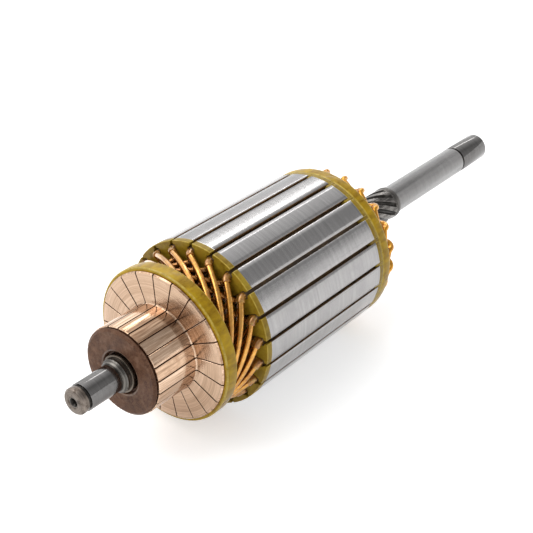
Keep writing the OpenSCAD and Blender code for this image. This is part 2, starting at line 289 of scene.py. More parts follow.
@dataclass(frozen=True)
class Finish:
    """One surface finish: two tones of a pattern, patches over them, and gloss.

    Attributes:
        name: Name of the material.
        deep: Colour in the hollows of the marks.
        pale: Colour on their crests.
        patch: Colour of the handling patches.
        patch_share: How much of the surface they cover.
        patch_size: Their scale, in cells per metre.
        metallic: 1 for bare metal.
        rough: Lowest and highest roughness.
        pattern: The way that the marks run.
        fineness: Their scale, in cells per metre.
        contrast: Their contrast.
        relief: Strength of their bump.
        coat: Weight of a clear varnish.
        coat_rough: Roughness of that varnish.
        specular: Strength of the plain gloss, for what isn't metal.
        painted_gap_shade: Colour of painted shade low on a bar, towards the axis, where the mesh has a
            depth.
    """

    name: str
    deep: Colour
    pale: Colour
    patch: Colour
    patch_share: float
    patch_size: float
    metallic: float
    rough: tuple[float, float]
    pattern: Pattern
    fineness: float
    contrast: float = 1.0
    relief: float = 0.1
    coat: float = 0.0
    coat_rough: float = 0.1
    specular: float = 0.5
    painted_gap_shade: Colour | None = None

    def material(self) -> Material:
        """Builds the material once and keeps it.

        Returns:
            The material.
        """
        ready = bpy.data.materials.get(self.name)
        if ready is not None:
            return ready
        made = bpy.data.materials.new(self.name)
        made.use_nodes = True
        graph = Graph(made.node_tree)
        shader = made.node_tree.nodes["Principled BSDF"]
        marks, height = graph.add(
            "ShaderNodeGroup", {"Fineness": self.fineness, "Contrast": self.contrast},
            node_tree=SharedEffects.marks(self.pattern),
        ).outputs
        patches = graph.add(
            "ShaderNodeGroup", {"Size": self.patch_size, "Share": self.patch_share},
            node_tree=SharedEffects.handling(),
        ).outputs[0]
        toned = graph.blend(marks, (*self.deep, 1.0), (*self.pale, 1.0))
        base = graph.blend(patches, toned, (*self.patch, 1.0))
        # Painted shade: the base colour darkens with the mesh's depth, towards the axis, low between the
        # conductors.
        if self.painted_gap_shade is not None:
            depth = graph.add("ShaderNodeAttribute", attribute_name="depth").outputs["Fac"]
            base = graph.blend(graph.remap(depth, 0.1, 0.75, 0.0, 1.0), base, (*self.painted_gap_shade, 1.0))
        spread = graph.maths(
            "ADD", graph.maths("MULTIPLY", marks, 0.6), graph.maths("MULTIPLY", patches, 0.4)
        )
        bump = {"Strength": self.relief, "Distance": 0.0002, "Height": height}
        graph.fill(shader, {
            "Base Color": base,
            "Roughness": graph.remap(spread, 0.0, 1.0, *self.rough),
            "Metallic": self.metallic,
            "Coat Weight": self.coat,
            "Coat Roughness": self.coat_rough,
            "Specular IOR Level": self.specular,
            "Normal": graph.add("ShaderNodeBump", bump).outputs["Normal"],
        })
        return made


BRIGHT_STEEL = Finish(
    "bright ground steel", (0.105, 0.101, 0.099), (0.21, 0.204, 0.2), (0.135, 0.13, 0.126), 0.4, 140.0,
    1.0, (0.09, 0.19), Pattern.RINGS, 3800.0, 0.6, 0.05,
)
NOSE_STEEL = Finish(
    "heat tinted steel", (0.075, 0.06, 0.048), (0.26, 0.22, 0.19), (0.06, 0.045, 0.035), 0.6, 420.0,
    1.0, (0.22, 0.42), Pattern.RINGS, 1800.0, 1.1, 0.2,
)
# Near-black steel for the grooves, centre holes and gaps between the splines: painted shade.
RECESS_SHADE_STEEL = Finish(
    "steel with painted shade in recesses", (0.012, 0.011, 0.010), (0.075, 0.07, 0.064), (0.015, 0.013, 0.011), 0.5, 260.0,
    1.0, (0.28, 0.5), Pattern.MOTTLE, 1500.0, 1.0, 0.2,
)
CREST_STEEL = Finish(
    "worn crest steel", (0.055, 0.05, 0.046), (0.25, 0.235, 0.22), (0.045, 0.041, 0.037), 0.45, 420.0,
    1.0, (0.18, 0.36), Pattern.DRAWN, 2600.0, 1.2, 0.15,
)
COLLAR_STEEL = Finish(
    "rubbed collar steel", (0.065, 0.06, 0.056), (0.17, 0.16, 0.15), (0.10, 0.095, 0.09), 0.5, 300.0,
    1.0, (0.28, 0.46), Pattern.RINGS, 2400.0, 1.0, 0.15,
)
SEAT_STEEL = Finish(
    "scored seat steel", (0.028, 0.025, 0.022), (0.24, 0.225, 0.205), (0.05, 0.042, 0.035), 0.5, 400.0,
    1.0, (0.22, 0.45), Pattern.RINGS, 1300.0, 2.2, 0.6,
)
BUSH_STEEL = Finish(
    "brown bush steel", (0.06, 0.048, 0.038), (0.22, 0.185, 0.15), (0.09, 0.07, 0.055), 0.5, 300.0,
    1.0, (0.25, 0.45), Pattern.RINGS, 2100.0, 1.4, 0.3,
)
CORE_STEEL = Finish(
    "ground laminations", (0.265, 0.258, 0.257), (0.435, 0.425, 0.422), (0.32, 0.312, 0.312), 0.5, 90.0,
    1.0, (0.17, 0.30), Pattern.SHEETS, 4600.0, 0.6, 0.06,
)
SLOT_STEEL = Finish(
    "varnished slot wall", (0.012, 0.0085, 0.005), (0.06, 0.032, 0.014), (0.04, 0.022, 0.009), 0.5, 260.0,
    0.0, (0.5, 0.7), Pattern.SHEETS, 2200.0, 1.0, 0.2, specular=0.2,
)
MOUTH_VARNISH = Finish(
    "varnish in the slot mouths", (0.06, 0.03, 0.010), (0.30, 0.16, 0.055), (0.16, 0.08, 0.022), 0.5, 260.0,
    0.0, (0.3, 0.5), Pattern.SHEETS, 900.0, 1.2, 0.2, specular=0.35,
)
PHENOLIC = Finish(
    "brown phenolic", (0.068, 0.030, 0.017), (0.155, 0.076, 0.043), (0.19, 0.105, 0.066), 0.45, 320.0,
    0.0, (0.42, 0.6), Pattern.MOTTLE, 2200.0, 1.3, 0.25, specular=0.15,
)
# A paler phenolic for the rounded front rim: a painted highlight.
PHENOLIC_HIGHLIGHT_EDGE = Finish(
    "phenolic edge with painted highlight", (0.075, 0.04, 0.026), (0.34, 0.21, 0.14), (0.12, 0.065, 0.04), 0.5, 500.0,
    0.0, (0.3, 0.5), Pattern.RINGS, 1700.0, 1.6, 0.3, specular=0.4,
)
BAR_COPPER = Finish(
    "turned copper", (0.43, 0.275, 0.178), (0.76, 0.55, 0.40), (0.55, 0.365, 0.245), 0.4, 110.0,
    1.0, (0.08, 0.20), Pattern.DRAWN, 1300.0, 1.9, 0.12,
)
RISER_COPPER = Finish(
    "faced copper", (0.37, 0.24, 0.155), (0.58, 0.41, 0.29), (0.44, 0.295, 0.20), 0.45, 140.0,
    1.0, (0.12, 0.26), Pattern.RINGS, 2800.0, 1.2, 0.12,
)
RUBBED_COPPER = Finish(
    "rubbed copper", (0.28, 0.165, 0.10), (0.64, 0.44, 0.30), (0.42, 0.26, 0.165), 0.5, 130.0,
    1.0, (0.08, 0.24), Pattern.DRAWN, 1100.0, 2.0, 0.14,
)
# Both enamelled coppers end with a colour of painted shade, laid low on the conductors towards the axis.
WIRE_COPPER = Finish(
    "enamelled copper", (0.40, 0.155, 0.016), (0.80, 0.41, 0.07), (0.56, 0.28, 0.045), 0.5, 220.0,
    0.9, (0.14, 0.30), Pattern.DRAWN, 900.0, 1.0, 0.2, 0.9, 0.06, painted_gap_shade=(0.36, 0.14, 0.016),
)
DARK_WIRE = Finish(
    "enamelled copper in shade", (0.24, 0.085, 0.010), (0.56, 0.24, 0.04), (0.30, 0.12, 0.02), 0.5, 180.0,
    0.8, (0.2, 0.42), Pattern.DRAWN, 900.0, 1.0, 0.2, 0.6, 0.1, painted_gap_shade=(0.14, 0.048, 0.007),
)
NOSE_COPPER = Finish(
    "enamelled copper at the noses", (0.38, 0.15, 0.009), (0.74, 0.36, 0.03), (0.50, 0.23, 0.016), 0.5,
    220.0, 0.9, (0.15, 0.28), Pattern.DRAWN, 900.0, 1.0, 0.2, 0.35, 0.1,
)
NOSE_VARNISH = Finish(
    "varnish in the noses", (0.30, 0.12, 0.009), (0.62, 0.30, 0.03), (0.42, 0.19, 0.018), 0.5, 300.0,
    0.8, (0.16, 0.32), Pattern.MOTTLE, 900.0, 1.0, 0.2, 0.4, 0.1,
)
RESIN = Finish(
    "ochre resin glass", (0.22, 0.118, 0.001), (0.48, 0.30, 0.006), (0.44, 0.285, 0.007), 0.45, 170.0,
    0.0, (0.26, 0.45), Pattern.FIBRES, 420.0, 1.2, 0.3, 0.12, 0.12, specular=0.14,
)
# A paler resin for the rounded outer edges: a painted highlight.
RESIN_HIGHLIGHT_EDGE = Finish(
    "resin edge with painted highlight", (0.36, 0.24, 0.018), (0.58, 0.43, 0.085), (0.30, 0.19, 0.008), 0.45, 420.0,
    0.0, (0.26, 0.45), Pattern.FIBRES, 700.0, 1.0, 0.25, 0.2, 0.15, specular=0.2,
)
PLATE_RESIN = Finish(
    "plate resin glass", (0.17, 0.10, 0.004), (0.36, 0.25, 0.022), (0.28, 0.17, 0.012), 0.5, 200.0,
    0.0, (0.35, 0.55), Pattern.FIBRES, 500.0, 1.0, 0.3, 0.1, 0.3, specular=0.15,
)
PAPER = Finish(
    "varnished paper", (0.045, 0.024, 0.009), (0.15, 0.085, 0.03), (0.20, 0.12, 0.045), 0.4, 340.0,
    0.0, (0.4, 0.65), Pattern.FIBRES, 900.0, 1.0, 0.3, 0.2, 0.3, specular=0.25,
)
HOOD_PAPER = Finish(
    "varnished hood paper", (0.24, 0.085, 0.012), (0.58, 0.28, 0.055), (0.40, 0.27, 0.06), 0.4, 620.0,
    0.5, (0.18, 0.38), Pattern.FIBRES, 900.0, 1.1, 0.4, 0.9, 0.08,
)


# ------------ shaping


def low(node: str) -> Vector:
    """Lowest corner of a CAD node, in millimetres."""
    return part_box(node)[0] / MM


def high(node: str) -> Vector:
    """Highest corner of a CAD node, in millimetres."""
    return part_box(node)[1] / MM


def reach(place: Vector) -> float:
    """Distance of a place from the shaft's axis."""
    return math.hypot(place.y, place.z)


def only(kind: type, geom: Iterable[object]) -> list:
    """The elements of one kind among those that an operator gave back."""
    return [element for element in geom if isinstance(element, kind)]


def extruded(bm: BMesh, loop: list[BMEdge]) -> tuple[list[BMEdge], list[BMVert]]:
    """Extrudes a loop of edges in place, and gives the new loop and its vertices."""
    grown = bmesh.ops.extrude_edge_only(bm, edges=loop)["geom"]
    return only(BMEdge, grown), only(BMVert, grown)


def turn_round(bm: BMesh, verts: list[BMVert], angle: float) -> None:
    """Turns vertices round the shaft's axis by an angle in radians."""
    bmesh.ops.rotate(bm, verts=verts, cent=(0.0, 0.0, 0.0), matrix=Matrix.Rotation(angle, 3, "X"))


def near_rim(outer: float, depth: float = 0.2) -> Callable[[BMEdge], bool]:
    """A test for edges that lie less than a depth below an outer radius, in millimetres."""
    return lambda edge: min(reach(v.co) for v in edge.verts) > (outer - depth) * MM


def spun(line: Sequence[tuple[float, float]], axis: Vector, steps: int, closed: bool) -> BMesh:
    """Spins a line of points fully round an axis through the origin.

    Args:
        line: Points (x, z) in metres.
        axis: The axis.
        steps: Steps round it.
        closed: Whether the line's ends are joined.

    Returns:
        The spun mesh.
    """
    bm = bmesh.new()
    verts = [bm.verts.new((x, 0.0, z)) for x, z in line]
    edges = [bm.edges.new(pair) for pair in zip(verts, verts[1:])]
    if closed:
        edges.append(bm.edges.new((verts[-1], verts[0])))
    bmesh.ops.spin(
        bm, geom=verts + edges, cent=(0.0, 0.0, 0.0), axis=axis, dvec=(0.0, 0.0, 0.0),
        angle=math.tau, steps=steps, use_merge=True, use_duplicate=False,
    )
    bmesh.ops.remove_doubles(bm, verts=bm.verts, dist=1e-7)
    bmesh.ops.recalc_face_normals(bm, faces=bm.faces)
    return bm


def lathe(outline: Sequence[tuple[float, float]], steps: int = 192) -> BMesh:
    """Turns an outline (x, radius) in millimetres round the shaft, open where it starts on the axis."""
    return spun([(x * MM, r * MM) for x, r in outline], AXIS, steps, outline[0][1] > 0.0)


def soften(
    bm: BMesh, width: float, angle: float, segments: int = 2,
    keep: Callable[[BMEdge], bool] | None = None, finish: int = 0,
) -> None:
    """Rounds the sharp edges of a mesh.

    Args:
        bm: The mesh.
        width: Width of the rounding in millimetres.
        angle: Edges turning by more than this, in degrees, are rounded.
        segments: Steps across the rounding.
        keep: Test that an edge must pass to be rounded.
        finish: Material number of the rounding, or 0 for that of the faces beside it.
    """
    sharp = [
        e for e in bm.edges
        if e.is_manifold and e.calc_face_angle(0.0) > math.radians(angle) and (keep is None or keep(e))
    ]
    made = bmesh.ops.bevel(
        bm, geom=sharp, offset=width * MM, offset_type="OFFSET", affect="EDGES",
        segments=segments, profile=0.5, material=-1, clamp_overlap=True,
    )
    if finish:
        for face in made["faces"]:
            face.material_index = finish


def merged_copy(node: str) -> BMesh:
    """A copy of a CAD node's mesh, with its loose triangles merged into faces.

    Args:
        node: Name of the CAD node.

    Returns:
        The merged mesh.
    """
    bm = bmesh.new()
    bm.from_mesh(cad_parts[node].data)
    bmesh.ops.remove_doubles(bm, verts=bm.verts, dist=2e-6)
    bmesh.ops.dissolve_limit(
        bm, angle_limit=math.radians(0.6), verts=bm.verts, edges=bm.edges, use_dissolve_boundaries=False,
    )
    return bm


def drawn_bar(points: Sequence[Vector], width: float, height: float, corner: float) -> BMesh:
    """A bar with rounded corners, drawn along a line with its height towards the axis.

    Args:
        points: The bar's centre line in millimetres.
        width: Its width in millimetres.
        height: Its height in millimetres.
        corner: Rounding of its corners in millimetres.

    Returns:
        The bar's mesh, closed at both ends, with its depth from 0 outside to 1 inside.
    """
    places = []
    for k, here in enumerate(points):
        before, after = points[max(0, k - 1)], points[min(len(points) - 1, k + 1)]
        legs = [(q - p).normalized() for p, q in ((before, here), (here, after)) if p is not q]
        along = (legs[0] + legs[-1]).normalized()
        around = AXIS.cross(Vector((0.0, here.y, here.z))).normalized()
        side = (around - around.dot(along) * along).normalized()
        turn = Matrix((side, side.cross(along), along)).transposed().to_4x4()
        places.append(Matrix.Translation(here * MM) @ turn)
    bm = bmesh.new()
    bmesh.ops.create_grid(bm, x_segments=1, y_segments=1, size=0.5)
    bmesh.ops.scale(bm, verts=bm.verts, vec=(width * MM, height * MM, 1.0))
    bmesh.ops.bevel(
        bm, geom=bm.verts[:], offset=corner * MM, offset_type="OFFSET", affect="VERTICES",
        segments=3, profile=0.5, material=-1, clamp_overlap=True,
    )
    depth = bm.verts.layers.float.new("depth")
    verts, loop, last = bm.verts[:], bm.edges[:], Matrix.Identity(4)
    for k, place in enumerate(places):
        if k:
            loop, verts = extruded(bm, loop)
        bmesh.ops.transform(bm, matrix=place @ last.inverted(), verts=verts)
        for vert in verts:
            vert[depth] = 0.5 + (place.translation.yz.length - vert.co.yz.length) / (height * MM)
        last = place
    bmesh.ops.contextual_create(bm, geom=loop)
    bmesh.ops.recalc_face_normals(bm, faces=bm.faces)
    return bm


def linked(source: BMesh, name: str) -> Object:
    """Turns a finished mesh, in place, into an object of the scene.

    Args:
        source: The mesh, which is freed.
        name: Name of the object.

    Returns:
        The object.
    """
    mesh = bpy.data.meshes.new(name)
    source.to_mesh(mesh)
    source.free()
    piece = bpy.data.objects.new(name, mesh)
    bpy.context.scene.collection.objects.link(piece)
    return piece


def publish(
    source: BMesh, name: str, finishes: Sequence[Finish],
    stands_for: Iterable[str] = (), smooth_below: float = 30.0,
) -> None:
    """Makes a piece of the armature out of a mesh.

    Args:
        source: The mesh, in place.
        name: Name of the piece.
        finishes: Its finishes, in the order of the faces' material numbers.
        stands_for: CAD nodes that it replaces.
        smooth_below: Edges turning by less than this, in degrees, are shaded smooth.
    """
    piece = linked(source, name)
    mesh = piece.data
    mesh.shade_smooth()
    mesh.set_sharp_from_angle(angle=math.radians(smooth_below))
    for finish in finishes:
        mesh.materials.append(finish.material())
    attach(piece, "root")
    if stands_for:
        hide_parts(*stands_for)
    log.info("%s: %d faces", name, len(mesh.polygons))


def cured_band(node: str, wall: float, rounding: float) -> None:
    """Lathes and dresses a resin band in the place of a CAD band.

    Args:
        node: Name of the CAD band.
        wall: Its thickness in millimetres.
        rounding: Rounding of its outer edges in millimetres.
    """
    start, end, outer = low(node).x, high(node).x, high(node).z
    inner = outer - wall
    bm = lathe([(start, inner), (start, outer), (end, outer), (end, inner)])
    # The rounded outer edges take the paler resin, a painted highlight.
    soften(bm, rounding, 40.0, 3, near_rim(outer, 0.3), 1)
    publish(bm, f"{node}_cured", [RESIN, RESIN_HIGHLIGHT_EDGE], [node])


# ------------ shaft


class Zone(IntEnum):
    """Zones of the turned shaft, in the order of its finishes."""

    BRIGHT = 0
    NOSE = 1
    # DARK: painted shade in the recesses.
    DARK = 2
    SEAT = 3
    COLLAR = 4


@dataclass
class Shaft:
    """The shaft with its journals, scored seat, helical splines and grooves, in millimetres.

    Attributes:
        nose_step: How far the nose stays below the journal.
        seat_lead: Length of the chamfer up to the commutator's seat.
        spline_depth: Depth of the grooves between the splines.
        spline_length: Length of the splined part and its run-out.
        run_out: Length over which the grooves run out.
        helix: Helix angle of the splines in degrees.
        section: One spline's section, as shares of its pitch and of its depth.
        buried: How far the last section reaches into the collar.
        collar: Length of the plain collar behind the splines.
        centre_radius: Radius of the centre holes at the end faces.
    """

    groove_width: float = 1.0
    groove_depth: float = 0.6
    nose_step: float = 0.2
    journal_length: float = 13.0
    journal_radius: float = 5.0
    seat_radius: float = 6.2
    seat_lead: float = 1.9
    core_seat_radius: float = 7.3
    spline_radius: float = 6.8
    spline_depth: float = 1.25
    spline_length: float = 37.2
    run_out: float = 4.0
    teeth: int = 10
    helix: float = 28.0
    section: tuple[tuple[float, float], ...] = (
        (-0.26, -0.12), (-0.22, 0.0), (0.0, 0.0), (0.22, 0.0), (0.26, -0.12),
        (0.33, -0.8), (0.41, -0.97), (0.5, -1.0), (0.59, -0.97), (0.67, -0.8),
    )
    stations: int = 48
    buried: float = 0.3
    collar: float = 2.6
    drive_radius: float = 6.0
    drive_journal: float = 20.0
    centre_radius: float = 1.7

    def __post_init__(self) -> None:
        """Finds the stations along the axis."""
        self.front = low("shaft").x
        self.back = high("shaft").x
        self.journal_back = self.journal_length / 2
        self.step = low("front_shaft_sleeve").x
        self.spline_start = high("coil_01").x - 1.2
        self.spline_end = self.spline_start + self.spline_length
        self.groove = self.back - self.drive_journal - self.groove_width

    def outline(self) -> list[tuple[float, float]]:
        """Turned outline of the whole shaft, centre holes included.

        Returns:
            Its points, as stations and radii in millimetres.
        """
        nose = self.journal_radius - self.nose_step
        floor = self.journal_radius - self.groove_depth
        drill = self.centre_radius * 0.45
        cone = (self.centre_radius - drill) * 1.732
        root = self.spline_radius - self.spline_depth - 0.4
        journal = -self.journal_length / 2
        collar_end = self.spline_end + self.collar
        drive, drive_floor = self.drive_radius, self.drive_radius - self.groove_depth
        return [
            (self.front + cone + 2.8, 0.0), (self.front + cone + 2.4, drill), (self.front + cone, drill),
            (self.front, self.centre_radius), (self.front, nose - 0.7), (self.front + 0.7, nose),
            (journal - self.groove_width, nose), (journal - self.groove_width, floor), (journal, floor),
            (journal, self.journal_radius), (self.journal_back, self.journal_radius),
            (self.journal_back + self.seat_lead, self.seat_radius), (self.step, self.seat_radius),
            (self.step, self.core_seat_radius), (self.spline_start, self.core_seat_radius),
            (self.spline_start, root), (self.spline_end, root),
            (self.spline_end, self.spline_radius), (collar_end - 0.5, self.spline_radius),
            (collar_end, self.spline_radius - 0.5), (collar_end, drive), (self.groove, drive),
            (self.groove, drive_floor), (self.groove + self.groove_width, drive_floor),
            (self.groove + self.groove_width, drive), (self.back - 0.6, drive), (self.back, drive - 0.6),
            (self.back, self.centre_radius), (self.back - cone, drill), (self.back - cone - 2.4, drill),
            (self.back - cone - 2.8, 0.0),
        ]

    def finish_of(self, x: float, r: float) -> Zone:
        """Zone of a place on the shaft.

        Args:
            x: Station in millimetres.
            r: Radius in millimetres.

        Returns:
            The zone, which is also the number of its finish.
        """
        groove_at = -self.journal_length / 2
        if x < groove_at - self.groove_width and r > self.centre_radius:
            return Zone.NOSE
        # The groove floor, the centre hole and the root under the splines are Zone.DARK, painted shade.
        if groove_at - self.groove_width < x < groove_at and r < self.journal_radius - 0.1:
            return Zone.DARK
        if x < self.front + 6 and r <= self.centre_radius * 0.8:
            return Zone.DARK
        if self.journal_back < x < self.step:
            return Zone.SEAT
        if self.spline_start - 0.2 < x < self.spline_end - 0.1:
            return Zone.DARK
        if self.spline_end - 0.1 <= x < self.spline_end + self.collar + 0.1:
            return Zone.COLLAR
        if self.groove < x < self.groove + self.groove_width and r < self.drive_radius - 0.1:
            return Zone.DARK
        return Zone.BRIGHT

    def turned(self) -> BMesh:
        """Lathes the shaft and gives each zone its finish.

        Returns:
            The mesh.
        """
        bm = lathe(self.outline(), 128)
        soften(bm, 0.12, 35.0)
        for face in bm.faces:
            middle = face.calc_center_median() / MM
            face.material_index = self.finish_of(middle.x, reach(middle))
        return bm

    def groove_left(self, travelled: float) -> float:
        """Share of the grooves' depth that is left after a length of the splines."""
        gone = max(0.0, travelled - (self.spline_length - self.run_out)) / self.run_out
        return 1 - min(1.0, gone) ** 2

    def splines(self) -> BMesh:
        """Sweeps the toothed section along its helix and runs the grooves out.

        Returns:
            The mesh.
        """
        bm = bmesh.new()
        crest = self.spline_radius - 0.05
        tooth = math.tau / self.teeth
        line = []
        for share, depth in self.section:
            point = (self.spline_start * MM, 0.0, (crest + depth * self.spline_depth) * MM)
            line.append(bm.verts.new(Matrix.Rotation(share * tooth, 3, "X") @ Vector(point)))
        for k in range(1, self.teeth):
            turn_round(bm, only(BMVert, bmesh.ops.duplicate(bm, geom=line)["geom"]), k * tooth)
        order = sorted(bm.verts, key=lambda v: math.atan2(v.co.z, v.co.y))
        loop = [bm.edges.new(pair) for pair in zip(order, order[1:] + order[:1])]
        step = (self.spline_length + self.buried) / self.stations
        turn = step * math.tan(math.radians(self.helix)) / self.spline_radius
        for k in range(1, self.stations + 1):
            loop, verts = extruded(bm, loop)
            bmesh.ops.translate(bm, verts=verts, vec=AXIS * step * MM)
            turn_round(bm, verts, turn)
            share = self.groove_left(k * step) / max(1e-6, self.groove_left((k - 1) * step))
            if share < 1.0:
                for vert in verts:
                    r = reach(vert.co)
                    wanted = crest * MM - (crest * MM - r) * share
                    bmesh.ops.scale(bm, verts=[vert], vec=(1.0, wanted / r, wanted / r))
        bmesh.ops.recalc_face_normals(bm, faces=bm.faces)
        for face in bm.faces:
            # Faces down in the grooves between the splines take painted shade.
            face.material_index = int(min(reach(v.co) for v in face.verts) < (crest - 0.3) * MM)
        return bm

    def build(self) -> None:
        """Builds and dresses the shaft."""
        zones = [BRIGHT_STEEL, NOSE_STEEL, RECESS_SHADE_STEEL, SEAT_STEEL, COLLAR_STEEL]
        publish(self.turned(), "shaft_turned", zones, ["shaft"])
        publish(self.splines(), "shaft_splines", [CREST_STEEL, RECESS_SHADE_STEEL], smooth_below=35.0)


# ------------ commutator


@dataclass
class Commutator:
    """The moulding with its bush, the copper bars and the band on the riser.

    The edges are the widths of their rounding, in millimetres.
    """

    bar_edge: float = 0.07
    bush_edge: float = 0.08
    moulding_edge: float = 0.35
    band_wall: float = 1.2
    band_edge: float = 0.5

    def bars(self) -> None:
        """Rounds the edges of each bar and dresses it, three in seven with a rubbed track."""
        for k in range(1, SLOTS + 1):
            node = f"commutator_bar_{k:02d}"
            bm = merged_copy(node)
            soften(bm, self.bar_edge, 30.0, 1)
            for face in bm.faces:
                face.material_index = int(face.normal.x < -0.8)
            track = RUBBED_COPPER if k * 5 % 7 < 3 else BAR_COPPER
            publish(bm, f"bar_{k:02d}_turned", [track, RISER_COPPER], [node], 22.0)

    def moulding(self) -> None:
        """Rounds and dresses the moulding and its bush."""
        node = "commutator_moulding"
        bm = merged_copy(node)
        front = low(node).x
        # The rounded front rim takes the paler phenolic, a painted highlight.
        soften(
            bm, self.moulding_edge, 40.0, 2,
            lambda edge: max(v.co.x for v in edge.verts) < (front + 0.05) * MM, 1,
        )
        publish(bm, "moulding_turned", [PHENOLIC, PHENOLIC_HIGHLIGHT_EDGE], [node])
        bm = merged_copy("commutator_bush")
        soften(bm, self.bush_edge, 40.0, 1)
        publish(bm, "bush_turned", [BUSH_STEEL], ["commutator_bush"])

    def build(self) -> None:
        """Builds and dresses the commutator."""
        self.moulding()
        self.bars()
        cured_band("riser_band", self.band_wall, self.band_edge)


# ------------ stack


@dataclass
class Stack:
    """The lamination stack, its end plates, sleeves and rear band, in millimetres.

    The edges are the widths of their rounding.

    Attributes:
        fill_length: Length of the resin in the slot mouths at the rear.
        fill_slope: Slope of its front end.
        mouth: Width of the slot mouths.
        mouth_depth: How far down the mouths' walls are varnished.
    """

    sheet_edge: float = 0.1
    plate_edge: float = 0.25
    sleeve_edge: float = 0.15
    band_wall: float = 1.5
    band_edge: float = 0.6
    fill_length: float = 3.0
    fill_depth: float = 1.5
    fill_slope: float = 1.1
    mouth: float = 1.3
    mouth_depth: float = 1.3

    def laminations(self) -> None:
        """Rounds and dresses the stack, with dark varnish in its slots."""
        bm = merged_copy("lamination_stack")
        outer = high("lamination_stack").z
        ground, wall, mouth = range(3)
        for face in bm.faces:
            r = reach(face.calc_center_median() / MM)
            if r > outer - 0.25 or abs(face.normal.x) > 0.9:
                face.material_index = ground
            else:
                face.material_index = mouth if r > outer - self.mouth_depth else wall
        soften(bm, self.sheet_edge, 40.0, 1, near_rim(outer))
        finishes = [CORE_STEEL, SLOT_STEEL, MOUTH_VARNISH]
        publish(bm, "stack_ground", finishes, ["lamination_stack"])

    def plates(self) -> None:
        """Rounds and dresses the two end plates."""
        for node in ("front_end_plate", "rear_end_plate"):
            bm = merged_copy(node)
            # The rounded outer edges take the paler resin, a painted highlight.
            soften(bm, self.plate_edge, 40.0, 2, near_rim(high(node).z), 1)
            publish(bm, f"{node}_cured", [PLATE_RESIN, RESIN_HIGHLIGHT_EDGE], [node])

    def sleeves(self) -> None:
        """Rounds and dresses the sleeves on the shaft."""
        for node in ("front_shaft_sleeve", "rear_shaft_sleeve"):
            bm = merged_copy(node)
            soften(bm, self.sleeve_edge, 40.0, 2)
            publish(bm, f"{node}_wound", [PAPER], [node])

    def mouth_fills(self) -> None:
        """Fills the rear ends of the slot mouths with cured resin, each to its own length."""
        bm = bmesh.new()
        stack_end, end = high("lamination_stack").x, high("rear_end_plate").x
        outer = high("rear_end_plate").z - 0.1
        inner = outer - self.fill_depth
        middle = (outer + inner) / 2 * MM
        shortest, spread = 0.8, 0.35
        for k in range(1, SLOTS + 1):
            verts = bmesh.ops.create_cube(bm, size=1.0)["verts"]
            start = stack_end - self.fill_length * (shortest + spread * ((k * 7) % 5) / 4)
            size = ((end - start) * MM, (self.mouth - 0.04) * MM, (outer - inner) * MM)
            bmesh.ops.scale(bm, verts=verts, vec=size)
            bmesh.ops.translate(bm, verts=verts, vec=((end + start) / 2 * MM, 0.0, middle))
            front = [v for v in verts if v.co.x < (start + 0.5) * MM and v.co.z > middle]
            bmesh.ops.translate(bm, verts=front, vec=AXIS * self.fill_slope * MM)
            turn_round(bm, verts, math.radians(SLOT_PHASE) + k * PITCH - math.pi / 2)
        soften(bm, 0.2, 30.0, 2)
        publish(bm, "mouth_resin", [PLATE_RESIN])

    def build(self) -> None:
        """Builds and dresses the stack."""
        self.laminations()
        self.plates()
        self.sleeves()
        cured_band("rear_band", self.band_wall, self.band_edge)
        self.mouth_fills()


# ------------ winding


